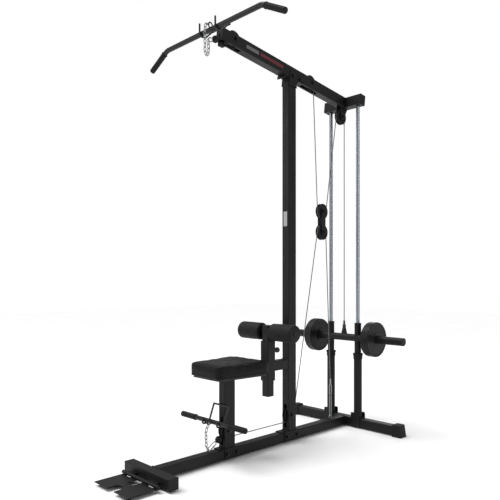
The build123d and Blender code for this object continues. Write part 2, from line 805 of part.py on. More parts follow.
def lat_chain():
    front = [(lat_front + 6, lat_bar_z + 22), (lat_front, lat_bar_z + 4), (lat_front, lat_low_z + 16)]
    back = [((lat_front + lat_back) / 2, lat_low_z), (lat_back, lat_low_z + 16), lat_clip]
    return chain(spaced([lat_hitch, *front, *back]))


def row_chain():
    middle = [(row_front + 6, row_bar_z - 24), (row_front, row_bar_z - 42), (row_front + 2, 90)]
    return chain(spaced([row_hitch, *middle, row_clip]))


def eyelet(centre):
    """A ring in the X = 0 plane."""
    return Pos(0, *centre) * Rot(0, 90, 0) * Torus(eye_r, eye_wire)


def anchor_chain():
    """The chain that holds the low cable's end, and its eye on the base beam."""
    ring = eyelet((anchor_y, beam_top + 10))
    ring -= span((-30, 30), (anchor_y - 20, anchor_y + 20), (0, beam_top))
    links = chain(spaced([(anchor_y, anchor_clip_z), anchor_ring]))
    return group(ring, *links.solids())


def carabiner(top, bottom):
    """A long closed snap link whose outer ends are at two (y, z) points."""
    wire = 2.5
    half_width = 9.0
    lean = degrees(atan2(top[0] - bottom[0], top[1] - bottom[1]))
    middle = Pos(0, (top[0] + bottom[0]) / 2, (top[1] + bottom[1]) / 2)
    reach = hypot(top[0] - bottom[0], top[1] - bottom[1])
    one = link(reach - 2 * half_width - 2 * wire, half_width, wire)
    return middle * Rot(-lean, 0, 0) * Rot(0, 0, 90) * one


def beside(centre, towards, distance):
    """The point at a distance from a centre towards another point."""
    dy, dz = towards[0] - centre[0], towards[1] - centre[1]
    reach = hypot(dy, dz)
    return (centre[0] + dy / reach * distance, centre[1] + dz / reach * distance)


def cable_ends():
    """Stopper balls on both cables, and the snap links between the cables and their chains."""
    balls = [Pos(0, *centre) * Sphere(ball_r) for centre in (lat_ball, row_ball)]
    clips = [carabiner((anchor_y, anchor_top[1] - 0.2), (anchor_y, anchor_clip_z - 5.2))]
    for ball, end in ((lat_ball, lat_clip), (row_ball, row_clip)):
        far = hypot(end[0] - ball[0], end[1] - ball[1])
        clips.append(carabiner(beside(ball, end, ball_r + 0.3), beside(ball, end, far + 7.6)))
    return group(*balls, *clips)


# ------------------------------------------------------------------ bar hooks
def lat_bar_hooks():
    """A flat cross bar on the boom's nose with two hooks that the lat bar rests in."""
    u = -boom_half - 2
    y, z = local(u, boom_h / 2 + 3)
    cross = boom_plane * Pos(0, u, boom_h / 2 + 3.1) * Box(132, 14, 6)
    under = lat_bar_z - lat_bar_r - hook_r - 0.3
    front = lat_bar_y - lat_bar_r - hook_r - 1.5
    for x in (-58, 58):
        points = [(x, y, z), (x, lat_bar_y + 16, under), (x, front, under), (x, front, lat_bar_z + 42)]
        cross += bent_rod(points, [8, 12], hook_r)
    return cross


def row_bar_hooks():
    """A wire holder on the seat post's front with two hooks that the row bar rests in."""
    y = seat_post_y - post_depth / 2 - hook_r
    under = row_bar_z - row_bar_r - hook_r - 0.3
    front = row_bar_y - row_bar_r - hook_r - 1.5
    top = 272.0
    body = rod_along_x(-53, 53, y, top, hook_r)
    for x in (-53, 53):
        points = [(x, y, top), (x, row_bar_y + 22, under), (x, front, under), (x, front, row_bar_z + 14)]
        body += bent_rod(points, [10, 10], hook_r)
        body += Pos(x, y, top) * Sphere(hook_r)
    return body


def bar_hooks():
    return group(lat_bar_hooks(), row_bar_hooks())


# ------------------------------------------------------------------ handles
def lat_bar():
    points = [(-lat_end_x, lat_bar_y, lat_bar_z - lat_drop), (-lat_bend_x, lat_bar_y, lat_bar_z)]
    points += [(lat_bend_x, lat_bar_y, lat_bar_z), (lat_end_x, lat_bar_y, lat_bar_z - lat_drop)]
    body = bent_rod(points, [60, 60], lat_bar_r)
    return body + eyelet(lat_eye)


def grip_ends(side):
    """The start and end of a lat bar grip, along the bent end."""
    slope = atan2(lat_drop, lat_end_x - lat_bend_x)
    start = (lat_bend_x + lat_grip_start * cos(slope), lat_bar_z - lat_grip_start * sin(slope))
    end = (lat_end_x + 3 * cos(slope), lat_bar_z - lat_drop - 3 * sin(slope))
    return (side * start[0], start[1]), (side * end[0], end[1])


def lat_bar_grips():
    grips = []
    for s in (-1, 1):
        a, b = grip_ends(s)
        way = Vector(b[0] - a[0], 0, b[1] - a[1])
        outer = extrude(Plane(origin=(a[0], lat_bar_y, a[1]), z_dir=way) * Circle(lat_grip_r), way.length)
        core = extrude(Plane(origin=(a[0], lat_bar_y, a[1]), z_dir=way) * Circle(lat_bar_r), way.length - 3)
        grips.append(outer - core)
    return group(*grips)


def row_bar():
    body = rod_along_x(-row_half + 3, row_half - 3, row_bar_y, row_bar_z, row_bar_r)
    return body + eyelet(row_eye)


def row_bar_grips():
    grips = []
    for s in (-1, 1):
        outer = outwards(s, row_half - row_grip, row_half, row_bar_y, row_bar_z, row_grip_r)
        core = outwards(s, row_half - row_grip, row_half - 3, row_bar_y, row_bar_z, row_bar_r)
        grips.append(outer - core)
    return group(*grips)


# ------------------------------------------------------------------ footplate
foot_axis_z = foot_z[1] + foot_tube_r - 1.5


def footplate_mount():
    """Two lugs on the front crossbeam and the hinge pin that they hold."""
    face = front_beam_y - beam / 2
    body = rod_along_x(-142, 142, foot_hinge_y, foot_axis_z, foot_pin_r)
    for s in (-1, 1):
        x = sorted((s * 66, s * 104))
        body += span(x, (foot_hinge_y, face), (foot_axis_z - 6, foot_axis_z + 6))
        body += rod_along_x(x[0], x[1], foot_hinge_y, foot_axis_z, foot_tube_r)
    return body


def footplate():
    """An H-shaped plate under a tube that turns on the hinge pin."""
    tip = mast_y - foot_reach
    back = foot_hinge_y + 6
    plate = span((-foot_half, foot_half), (tip, back), foot_z)
    plate -= span((-28, 28), (tip - 1, tip + 54), (0, 30))
    plate -= span((-24, 24), (tip + 92, back - 8), (0, 30))
    for s in (-1, 1):
        plate += outwards(s, 105, 138, foot_hinge_y, foot_axis_z, foot_tube_r)
    plate += rod_along_x(-65, 65, foot_hinge_y, foot_axis_z, foot_tube_r)
    for s in (-1, 1):
        plate -= span(sorted((s * 65, s * 105)), (foot_hinge_y - 8.8, back + 1), (0, 60))
    return plate - rod_along_x(-150, 150, foot_hinge_y, foot_axis_z, foot_pin_r + running)


def footplate_pads():
    """Small rubber pads under the footplate's two tips."""
    y = mast_y - foot_reach + 22
    return group(*[rod_along_z(s * (foot_half - 28), y, 1.0, foot_z[0], 11) for s in (-1, 1)])


NODES = {
    "front_crossbeam": front_crossbeam,
    "base_beam": base_beam,
    "rear_crossbeam": rear_crossbeam,
    "rubber_feet": rubber_feet,
    "tube_end_caps": tube_end_caps,
    "base_brackets": base_brackets,
    "mast": mast,
    "boom_saddle": boom_saddle,
    "boom": boom,
    "top_crossbeam": top_crossbeam,
    "guide_rods": guide_rods,
    "rod_posts": rod_posts,
    "rod_sockets": rod_sockets,
    "bumpers": bumpers,
    "seat_post": seat_post,
    "seat_board": seat_board,
    "seat_pad": seat_pad,
    "thigh_holder": thigh_holder_part,
    "pin_housing": pin_housing,
    "pull_pin": pull_pin,
    "thigh_upright": thigh_upright,
    "roller_axle": roller_axle,
    "roller_left": lambda: roller(-1),
    "roller_right": lambda: roller(1),
    "carriage": carriage,
    "carriage_bushes": carriage_bushes,
    "sleeve_caps": sleeve_caps,
    "cable_clevis": cable_clevis,
    "plate_left": lambda: weight_plate(-1),
    "plate_right": lambda: weight_plate(1),
    "front_boom_pulley": lambda: pulley(front_pulley, boom_pitch_r),
    "rear_boom_pulley": lambda: pulley(rear_pulley, boom_pitch_r),
    "top_rear_pulley": lambda: pulley(top_pulley),
    "block_upper_pulley": lambda: pulley(block_upper),
    "block_lower_pulley": lambda: pulley(block_lower),
    "mast_low_pulley": lambda: pulley(mast_pulley),
    "seat_low_pulley": lambda: pulley(seat_pulley),
    "pulley_axles": pulley_axles,
    "top_pulley_cheeks": top_pulley_cheeks,
    "block_frame": block_frame,
    "block_cable_loops": block_cable_loops,
    "high_cable": high_cable,
    "low_cable": low_cable,
    "high_cable_carriage_run": high_cable_carriage_run,
    "high_cable_block_runs": high_cable_block_runs,
    "low_cable_block_runs": low_cable_block_runs,
    "lat_chain": lat_chain,
    "row_chain": row_chain,
    "anchor_chain": anchor_chain,
    "cable_ends": cable_ends,
    "nose_roller": nose_roller,
    "frame_bolts": frame_bolts,
    "bar_hooks": bar_hooks,
    "lat_bar": lat_bar,
    "lat_bar_grips": lat_bar_grips,
    "row_bar": row_bar,
    "row_bar_grips": row_bar_grips,
    "footplate_mount": footplate_mount,
    "footplate": footplate,
    "footplate_pads": footplate_pads,
}

for name, make in NODES.items():
    shape = make()
    shape.label = name
    export_step(shape, f"parts/{name}.step")
    print(name, len(shape.solids()), round(shape.volume))
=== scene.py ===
"""Looks for the lat pulldown machine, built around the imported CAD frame."""

import bpy
import bmesh
import json
import numpy as np
from math import cos, pi, radians, sin
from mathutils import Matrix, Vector, noise


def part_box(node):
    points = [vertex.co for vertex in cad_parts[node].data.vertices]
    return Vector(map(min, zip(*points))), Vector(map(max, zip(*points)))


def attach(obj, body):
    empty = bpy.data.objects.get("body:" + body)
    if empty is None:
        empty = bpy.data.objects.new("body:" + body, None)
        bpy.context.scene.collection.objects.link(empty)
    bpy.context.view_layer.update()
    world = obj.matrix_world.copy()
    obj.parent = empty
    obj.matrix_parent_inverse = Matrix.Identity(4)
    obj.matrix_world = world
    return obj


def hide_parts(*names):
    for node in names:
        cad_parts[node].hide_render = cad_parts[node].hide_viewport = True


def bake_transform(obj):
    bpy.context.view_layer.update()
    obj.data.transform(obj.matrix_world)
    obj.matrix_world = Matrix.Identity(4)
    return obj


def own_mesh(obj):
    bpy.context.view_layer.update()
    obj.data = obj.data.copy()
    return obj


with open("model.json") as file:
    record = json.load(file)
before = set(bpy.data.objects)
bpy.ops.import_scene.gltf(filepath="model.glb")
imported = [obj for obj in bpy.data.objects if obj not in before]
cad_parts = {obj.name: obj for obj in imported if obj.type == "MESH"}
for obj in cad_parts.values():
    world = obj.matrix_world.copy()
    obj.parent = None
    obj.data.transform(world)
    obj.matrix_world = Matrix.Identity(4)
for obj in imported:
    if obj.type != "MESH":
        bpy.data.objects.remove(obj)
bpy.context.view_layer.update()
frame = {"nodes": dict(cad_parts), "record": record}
nodes = frame["nodes"]


# ------------------------------------------------------------------ places read from the frame
def middle(node):
    low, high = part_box(node)
    return (low + high) / 2


def islands(node):
    """The vertices of each separate solid in a CAD node, one array each."""
    bm = bmesh.new()
    bm.from_mesh(nodes[node].data)
    bmesh.ops.remove_doubles(bm, verts=bm.verts, dist=1e-6)
    found, seen = [], set()
    for start in bm.verts:
        if start in seen:
            continue
        stack, group = [start], []
        seen.add(start)
        while stack:
            v = stack.pop()
            group.append(v.co[:])
            for edge in v.link_edges:
                other = edge.other_vert(v)
                if other not in seen:
                    seen.add(other)
                    stack.append(other)
        found.append(np.array(group))
    bm.free()
    return found


def lie(points):
    """The middle, main directions (longest first) and sizes of a cloud of points."""
    axes = np.linalg.svd(points - points.mean(0), full_matrices=False)[2]
    along = points @ axes.T
    centre = axes.T @ ((along.min(0) + along.max(0)) / 2)
    return Vector(centre), [Vector(a) for a in axes], along.max(0) - along.min(0)


def run_ends(points):
    """The lower and upper end of a straight cable run."""
    z = points[:, 2]
    low = points[z < z.min() + 0.004].mean(0)
    high = points[z > z.max() - 0.004].mean(0)
    return Vector(low), Vector(high)


mast_y = middle("mast").y
cable_radius = 0.0025
cable_steps = 24
boom_tilt = radians(7.2)
floor_drop = 0.0005


# ------------------------------------------------------------------ material helpers
def shader(name, colour, roughness, metallic=0.0, **sockets):
    """A new material with its main shader set; returns the material, its node tree and the shader."""
    mat = bpy.data.materials.new(name)
    mat.use_nodes = True
    tree = mat.node_tree
    main = tree.nodes["Principled BSDF"]
    main.inputs["Base Color"].default_value = (*colour, 1)
    main.inputs["Roughness"].default_value = roughness
    main.inputs["Metallic"].default_value = metallic
    for socket, value in sockets.items():
        main.inputs[socket.replace("_", " ")].default_value = value
    return mat, tree, main


def place(tree, scale=(1, 1, 1)):
    """Object coordinates, scaled on each axis."""
    where = tree.nodes.new("ShaderNodeTexCoord")
    mapping = tree.nodes.new("ShaderNodeMapping")
    mapping.inputs["Scale"].default_value = scale
    tree.links.new(where.outputs["Object"], mapping.inputs["Vector"])
    return mapping.outputs["Vector"]


def noise_at(tree, vector, scale, detail=3.0, roughness=0.5):
    texture = tree.nodes.new("ShaderNodeTexNoise")
    texture.inputs["Scale"].default_value = scale
    texture.inputs["Detail"].default_value = detail
    texture.inputs["Roughness"].default_value = roughness
    tree.links.new(vector, texture.inputs["Vector"])
    return texture.outputs["Fac"]


def spread(tree, value, low, high, start=0.3, end=0.7):
    """A value from start..end mapped to low..high."""
    node = tree.nodes.new("ShaderNodeMapRange")
    node.inputs["From Min"].default_value = start
    node.inputs["From Max"].default_value = end
    node.inputs["To Min"].default_value = low
    node.inputs["To Max"].default_value = high
    tree.links.new(value, node.inputs["Value"])
    return node.outputs["Result"]


def tint(tree, value, dark, light, start=0.3, end=0.7):
    """A colour between two, by a value."""
    ramp = tree.nodes.new("ShaderNodeValToRGB")
    ramp.color_ramp.elements[0].position = start
    ramp.color_ramp.elements[0].color = (*dark, 1)
    ramp.color_ramp.elements[1].position = end
    ramp.color_ramp.elements[1].color = (*light, 1)
    tree.links.new(value, ramp.inputs["Fac"])
    return ramp.outputs["Color"]


def bump(tree, main, height, distance, strength=1.0, normal=None):
    node = tree.nodes.new("ShaderNodeBump")
    node.inputs["Distance"].default_value = distance
    node.inputs["Strength"].default_value = strength
    tree.links.new(height, node.inputs["Height"])
    if normal is not None:
        tree.links.new(normal, node.inputs["Normal"])
    tree.links.new(node.outputs["Normal"], main.inputs["Normal"])
    return node


def bevel_normal_and_edge_mask(tree, radius):
    """A softened normal at sharp edges, and a mask of how near an edge is."""
    bevel = tree.nodes.new("ShaderNodeBevel")
    bevel.samples = 6
    bevel.inputs["Radius"].default_value = radius
    flat = tree.nodes.new("ShaderNodeNewGeometry")
    dot = tree.nodes.new("ShaderNodeVectorMath")
    dot.operation = "DOT_PRODUCT"
    tree.links.new(bevel.outputs["Normal"], dot.inputs[0])
    tree.links.new(flat.outputs["Normal"], dot.inputs[1])
    return bevel.outputs["Normal"], spread(tree, dot.outputs["Value"], 1, 0, 0.8, 0.99)


# ------------------------------------------------------------------ materials
def powder_coat(name, dark, light, roughness=0.42):
    """Satin powder coat: orange peel, cloudy gloss, and edges lightened in scratchy patches, partly as rubbed
    wear and partly as a painted highlight.
    """
    mat, tree, main = shader(name, dark, roughness, 0.0, Specular_IOR_Level=0.21)
    where = place(tree)
    clouds = noise_at(tree, where, 6.0, 4.0)
    peel = noise_at(tree, where, 900.0, 2.0)
    soft, edge = bevel_normal_and_edge_mask(tree, 0.0012)
    coat = tint(tree, clouds, dark, light)
    edge_wear_and_highlight = tree.nodes.new("ShaderNodeMix")
    edge_wear_and_highlight.data_type = "RGBA"
    scratch = noise_at(tree, where, 60.0, 5.0, 0.7)
    amount = tree.nodes.new("ShaderNodeMath")
    amount.operation = "MULTIPLY"
    tree.links.new(edge, amount.inputs[0])
    tree.links.new(spread(tree, scratch, 0.0, 0.6, 0.45, 0.75), amount.inputs[1])
    tree.links.new(amount.outputs["Value"], edge_wear_and_highlight.inputs["Factor"])
    tree.links.new(coat, edge_wear_and_highlight.inputs[6])
    # 6 and 7 are the colour sockets A and B
    # B is a lighter grey laid on sharp edges in scratchy patches: partly rubbed wear, partly a painted edge
    # highlight
    edge_wear_and_highlight.inputs[7].default_value = (0.11, 0.11, 0.115, 1)
    tree.links.new(edge_wear_and_highlight.outputs[2], main.inputs["Base Color"])
    tree.links.new(spread(tree, clouds, roughness - 0.06, roughness + 0.1), main.inputs["Roughness"])
    bump(tree, main, peel, 0.00012, 0.5, soft)
    return mat


def moulded(name, dark, light, roughness, grain=700.0, depth=0.0001):
    """Moulded rubber or plastic with a fine grain."""
    mat, tree, main = shader(name, dark, roughness, 0.0, Specular_IOR_Level=0.2)
    where = place(tree)
    clouds = noise_at(tree, where, 14.0, 4.0)
    tree.links.new(tint(tree, clouds, dark, light), main.inputs["Base Color"])
    tree.links.new(spread(tree, clouds, roughness - 0.05, roughness + 0.1), main.inputs["Roughness"])
    soft = bevel_normal_and_edge_mask(tree, 0.001)[0]
    bump(tree, main, noise_at(tree, where, grain, 3.0), depth, 0.6, soft)
    return mat


def plated(name, dark, light, roughness, stretch=(1, 1, 1), grain=250.0, relief=0.4, smear=0.12):
    """Plated or polished metal with faint streaks and fingerprints."""
    mat, tree, main = shader(name, light, roughness, 1.0)
    streaks = noise_at(tree, place(tree, stretch), grain, 4.0, 0.6)
    smears = noise_at(tree, place(tree), 18.0, 4.0)
    tree.links.new(tint(tree, streaks, dark, light), main.inputs["Base Color"])
    tree.links.new(spread(tree, smears, roughness - smear / 3, roughness + smear), main.inputs["Roughness"])
    bump(tree, main, streaks, 0.00004, relief)
    return mat


def vinyl():
    """Black upholstery vinyl: leather-like pebbles, with creases that break its sheen."""
    mat, tree, main = shader("seat_vinyl", (0.006, 0.006, 0.0063), 0.42, 0.0, Specular_IOR_Level=0.12)
    where = place(tree)
    pebbles = tree.nodes.new("ShaderNodeTexVoronoi")
    pebbles.feature = "SMOOTH_F1"
    pebbles.inputs["Scale"].default_value = 620.0
    tree.links.new(where, pebbles.inputs["Vector"])
    creases = noise_at(tree, where, 24.0, 6.0, 0.65)
    # the colour darkens in the crease hollows, following the crease bump: painted shade
    colour = tint(tree, creases, (0.0045, 0.0045, 0.0048), (0.008, 0.008, 0.0084))
    tree.links.new(colour, main.inputs["Base Color"])
    tree.links.new(spread(tree, creases, 0.34, 0.52), main.inputs["Roughness"])
    first = bump(tree, main, pebbles.outputs["Distance"], 0.0003, 0.5)
    bump(tree, main, creases, 0.0012, 0.5, first.outputs["Normal"])
    return mat


def foam_skin():
    """Closed-cell foam with a matt, slightly pitted skin."""
    mat, tree, main = shader("foam_skin", (0.008, 0.008, 0.0085), 0.7, 0.0, Specular_IOR_Level=0.2)
    where = place(tree)
    pits = tree.nodes.new("ShaderNodeTexVoronoi")
    pits.inputs["Scale"].default_value = 480.0
    tree.links.new(where, pits.inputs["Vector"])
    patches = noise_at(tree, where, 30.0, 5.0)
    colour = tint(tree, patches, (0.006, 0.006, 0.0065), (0.012, 0.012, 0.0125))
    tree.links.new(colour, main.inputs["Base Color"])
    tree.links.new(spread(tree, patches, 0.5, 0.72), main.inputs["Roughness"])
    first = bump(tree, main, pits.outputs["Distance"], 0.0004, 0.5)
    bump(tree, main, patches, 0.001, 0.4, first.outputs["Normal"])
    return mat


def cable_jacket():
    """Steel strands that show through a clear plastic jacket."""
    mat, tree, main = shader(
        "cable_jacket", (0.12, 0.12, 0.125), 0.42, 0.3, Coat_Weight=0.25, Coat_Roughness=0.2
    )
    wave = tree.nodes.new("ShaderNodeTexWave")
    wave.bands_direction = "DIAGONAL"
    wave.inputs["Scale"].default_value = 160.0
    wave.inputs["Distortion"].default_value = 0.4
    tree.links.new(place(tree), wave.inputs["Vector"])
    colour = tint(tree, wave.outputs["Fac"], (0.04, 0.04, 0.042), (0.17, 0.17, 0.175), 0.1, 0.8)
    tree.links.new(colour, main.inputs["Base Color"])
    bump(tree, main, wave.outputs["Fac"], 0.0003, 0.6)
    return mat


def board():
    """A dark stained board with stretched grain."""
    mat, tree, main = shader("seat_board", (0.02, 0.018, 0.016), 0.7)
    grain = noise_at(tree, place(tree, (40, 3, 40)), 9.0, 6.0, 0.6)
    tree.links.new(tint(tree, grain, (0.010, 0.009, 0.009), (0.03, 0.027, 0.024)), main.inputs["Base Color"])
    bump(tree, main, grain, 0.0005, 0.5)
    return mat


def printed(name, colour):
    """A thin printed film, slightly mottled."""
    mat, tree, main = shader(name, colour, 0.4)
    mottle = noise_at(tree, place(tree), 120.0, 4.0)
    darker = tuple(c * 0.88 for c in colour)
    tree.links.new(tint(tree, mottle, darker, colour), main.inputs["Base Color"])
    bump(tree, main, mottle, 0.0001, 0.3)
    return mat


def floor_finish():
    """Pale floor with a barely uneven tone."""
    mat, tree, main = shader("floor", (0.9, 0.9, 0.9), 0.8)
    speckle = noise_at(tree, place(tree), 3.0, 3.0)
    tree.links.new(tint(tree, speckle, (0.88, 0.88, 0.88), (0.91, 0.91, 0.91)), main.inputs["Base Color"])
    return mat


MAT = {
    "frame_paint": powder_coat("frame_paint", (0.0055, 0.0056, 0.006), (0.009, 0.0092, 0.0098)),
    "moving_paint": powder_coat("moving_paint", (0.006, 0.0061, 0.0065), (0.0095, 0.0097, 0.0103), 0.38),
    "cap_plastic": moulded("cap_plastic", (0.006, 0.006, 0.0065), (0.011, 0.011, 0.0115), 0.5),
    "foot_rubber": moulded(
        "foot_rubber", (0.008, 0.008, 0.0085), (0.015, 0.015, 0.0155), 0.66, 400.0, 0.0002
    ),
    "chrome": plated(
        "chrome", (0.34, 0.37, 0.41), (0.38, 0.41, 0.45), 0.26,
        stretch=(1, 1, 0.01), grain=30.0, relief=0.0, smear=0.02,
    ),
    "seat_vinyl": vinyl(),
    "seat_wood": board(),
    "foam": foam_skin(),
    "pulley_nylon": moulded("pulley_nylon", (0.006, 0.006, 0.0065), (0.012, 0.012, 0.0125), 0.38, 500.0),
    "plate_iron": powder_coat("plate_iron", (0.006, 0.0061, 0.0067), (0.011, 0.0112, 0.012), 0.38),
    "zinc": plated("zinc", (0.20, 0.20, 0.205), (0.46, 0.47, 0.48), 0.28),
    "cable_jacket": cable_jacket(),
    "bar_paint": powder_coat("bar_paint", (0.011, 0.0112, 0.012), (0.017, 0.0173, 0.0185), 0.36),
    "grip_rubber": moulded("grip_rubber", (0.006, 0.006, 0.0065), (0.011, 0.011, 0.0115), 0.58, 500.0),
}
DARK_STEEL = plated("dark_steel", (0.03, 0.03, 0.032), (0.075, 0.075, 0.08), 0.38)
PALE_FILM = printed("pale_film", (0.40, 0.39, 0.39))
GREY_FILM = printed("grey_film", (0.13, 0.13, 0.135))
RED_FILM = printed("red_film", (0.11, 0.007, 0.012))


def paint_nodes():
    """Every CAD node that stays in view gets the material of its slot."""
    slots = {s["node"]: s["material_slot"] for s in frame["record"]["subparts"]}
    dark = ("frame_bolts", "pulley_axles", "bar_hooks", "pull_pin", "pin_housing", "cable_clevis")
    for name, obj in nodes.items():
        mat = DARK_STEEL if name in dark else MAT[slots[name]]
        obj.data.materials.clear()
        obj.data.materials.append(mat)
        for face in obj.data.polygons:
            face.material_index = 0


# ------------------------------------------------------------------ mesh helpers
def new_piece(name, verts, faces, mat, body, slot=None, smooth=True):
    mesh = bpy.data.meshes.new(name)
    mesh.from_pydata([tuple(v) for v in verts], [], faces)
    mesh.materials.append(mat)
    for face in mesh.polygons:
        face.use_smooth = smooth
    bm = bmesh.new()
    bm.from_mesh(mesh)
    bmesh.ops.recalc_face_normals(bm, faces=bm.faces)
    bm.to_mesh(mesh)
    bm.free()
    obj = bpy.data.objects.new(name, mesh)
    bpy.context.scene.collection.objects.link(obj)
    if body:
        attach(obj, body)
    return obj


def square_to(direction):
    """Two unit vectors square to a direction and each other."""
    d = Vector(direction).normalized()
    first = d.orthogonal().normalized()
    return first, d.cross(first)


def lathe_mesh(profile, origin, direction, segments=64):
    """A profile of (distance along, radius) turned round an axis, with both ends closed."""
    origin, d = Vector(origin), Vector(direction).normalized()
    a, b = square_to(d)
    verts, faces = [], []
    for along, r in profile:
        for k in range(segments):
            t = 2 * pi * k / segments
            verts.append(origin + d * along + (a * cos(t) + b * sin(t)) * r)
    rows = len(profile)
    for i in range(rows - 1):
        for k in range(segments):
            n = (k + 1) % segments
            faces.append((i * segments + k, i * segments + n, (i + 1) * segments + n, (i + 1) * segments + k))
    faces.append(tuple(range(segments)))
    faces.append(tuple((rows - 1) * segments + k for k in range(segments)))
    return verts, faces


def tube_mesh(points, radii, segments=16, closed=False):
    """Vertices and faces of a round tube along points, with a radius at each."""
    points = [Vector(p) for p in points]
    count = len(points)
    verts, faces = [], []
    side = None
    for i, p in enumerate(points):
        before = points[i - 1] if i or closed else p
        after = points[(i + 1) % count] if i < count - 1 or closed else p
        way = (after - before).normalized()
        side = way.orthogonal() if side is None else side - way * side.dot(way)
        side.normalize()
        up = way.cross(side)
        for k in range(segments):
            t = 2 * pi * k / segments
            verts.append(p + (side * cos(t) + up * sin(t)) * radii[i])
    rings = count if closed else count - 1
    for i in range(rings):
        j = (i + 1) % count
        for k in range(segments):
            n = (k + 1) % segments
            faces.append((i * segments + k, i * segments + n, j * segments + n, j * segments + k))
    if not closed:
        faces.append(tuple(range(segments)))
        faces.append(tuple((count - 1) * segments + k for k in range(segments)))
    return verts, faces


def joined(parts):
    """Several (verts, faces) as one."""
    verts, faces = [], []
    for more_verts, more_faces in parts:
        base = len(verts)
        verts += [Vector(v) for v in more_verts]
        faces += [tuple(base + i for i in f) for f in more_faces]
    return verts, faces


def solved(obj):
    """The object's mesh with its modifiers worked out, as a new mesh."""
    graph = bpy.context.evaluated_depsgraph_get()
    graph.update()
    return bpy.data.meshes.new_from_object(obj.evaluated_get(graph))


# ------------------------------------------------------------------ chains and cable ends
def stadium(centre, along, across, reach, half_width, steps=10):
    """A closed loop of points: two half circles joined by straight legs."""
    points = []
    straight = reach / 2 - half_width
    for side in (1, -1):
        for k in range(steps + 1):
            t = pi * k / steps
            out = across * (cos(t) * half_width * side) + along * (sin(t) * half_width * side)
            points.append(centre + out + along * straight * side)
    return points


def chain_link(centre, along, across, reach, half_width, wire):
    """A link with a small weld swelling half way along one leg."""
    points = stadium(centre, along, across, reach, half_width)
    weld = centre + across * half_width
    leg = [weld + along * reach * k for k in (-0.1, -0.05, 0.0, 0.05, 0.1)]
    swelling = [wire * s for s in (1.0, 1.12, 1.2, 1.12, 1.0)]
    return joined([tube_mesh(points, [wire] * len(points), 12, True), tube_mesh(leg, swelling, 12)])


def chain_piece(name, node, body, wire=0.002):
    """Links that lie where the CAD node's own links lie; a round solid among them becomes a ring."""
    parts = []
    for solid in islands(node):
        centre, axes, sizes = lie(solid)
        if sizes[0] < 1.3 * sizes[1]:
            low, high = Vector(solid.min(0)), Vector(solid.max(0))
            ring_wire = (high.x - low.x) / 2
            radius = (high.y - low.y) / 2 - ring_wire
            hub = Vector((0, (low.y + high.y) / 2, high.z - radius - ring_wire))
            points = stadium(hub, Vector((0, 0, 1)), Vector((0, 1, 0)), 2 * radius, radius, 16)
            parts.append(tube_mesh(points, [ring_wire] * len(points), 14, True))
            continue
        parts.append(chain_link(centre, axes[0], axes[1], sizes[0] - 2 * wire, sizes[1] / 2 - wire, wire))
    piece = new_piece(name, *joined(parts), MAT["zinc"], body, "zinc")
    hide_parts(node)
    return piece


def snap_link(centre, along, across, reach, half_width, wire):
    """A snap link: a bent wire with a thicker sprung gate and its hinge on one leg."""
    points = stadium(centre, along, across, reach, half_width, 14)
    gate_side = centre + across * half_width
    gate = [gate_side + along * reach * k for k in (-0.2, -0.19, 0.17, 0.18)]
    pivot = gate_side - along * reach * 0.21
    normal = along.cross(across)
    rivet_profile = [(-0.0036, 0.001), (-0.0034, 0.0018), (0.0034, 0.0018), (0.0036, 0.001)]
    rivet = lathe_mesh(rivet_profile, pivot, normal, 16)
    loop = tube_mesh(points, [wire] * len(points), 14, True)
    return joined([loop, tube_mesh(gate, [wire * 1.1, wire * 1.3, wire * 1.3, wire * 1.05], 14), rivet])


def ball_profile(radius, bore=0.0034):
    """A stopper ball with a bore mouth at each end and a moulded seam at its middle."""
    profile = []
    start = np.arcsin(bore / radius)
    for t in np.linspace(start, pi - start, 25):
        swell = 0.0004 if abs(t - pi / 2) < 0.06 else 0.0
        profile.append((-cos(t) * radius, sin(t) * (radius + swell)))
    return [(profile[0][0] + 0.002, bore * 0.7), *profile, (profile[-1][0] - 0.002, bore * 0.7)]


def cable_end_pieces():
    """Stopper balls, snap links and swaged ferrules at the cables' ends."""
    clips, balls, ferrules = [], [], []
    for solid in islands("cable_ends"):
        centre, axes, sizes = lie(solid)
        if sizes[0] > 1.3 * sizes[1]:
            wire = sizes[2] / 2
            clips.append(snap_link(centre, axes[0], axes[1], sizes[0] - 2 * wire, sizes[1] / 2 - wire, wire))
        else:
            cable_way = Vector((0, 1, 0.25 if centre.z > 1 else 0.0))
            balls.append(lathe_mesh(ball_profile(sizes[1] / 2), centre, cable_way, 40))
    anchored = [run_ends(s) for s in islands("low_cable_block_runs")]
    low_end = min((low for low, high in anchored if low.y > mast_y + 0.2), key=lambda p: p.z)
    profile = [(0, 0.0035), (0.001, 0.0048), (0.007, 0.0048), (0.008, 0.0043), (0.009, 0.0048)]
    profile += [(0.019, 0.0048), (0.020, 0.0043), (0.021, 0.0048), (0.03, 0.0048), (0.033, 0.003)]
    ferrules.append(lathe_mesh(profile, low_end, (0, 0, 1), 20))
    hooks = new_piece("snap_links", *joined(clips), MAT["zinc"], "frame", "zinc")
    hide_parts("cable_ends")
    new_piece("stopper_balls", *joined(balls), MAT["foot_rubber"], "frame", "foot_rubber")
    new_piece("cable_ferrule", *joined(ferrules), MAT["zinc"], "frame", "zinc")


# ------------------------------------------------------------------ straight cable runs
def cable_run(name, ends):
    """A straight run of cable that belongs to no body yet."""
    low, high = ends
    points = [low.lerp(high, k / cable_steps) for k in range(cable_steps + 1)]
    tube = tube_mesh(points, [cable_radius] * len(points), 12)
    return new_piece(name, *tube, MAT["cable_jacket"], None, "cable_jacket")


def shortening(name, ends, node):
    """A straight run of cable on the frame, with a mesh of its own."""
    run = cable_run(name, ends)
    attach(run, "frame")
    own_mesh(run)
    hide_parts(node)


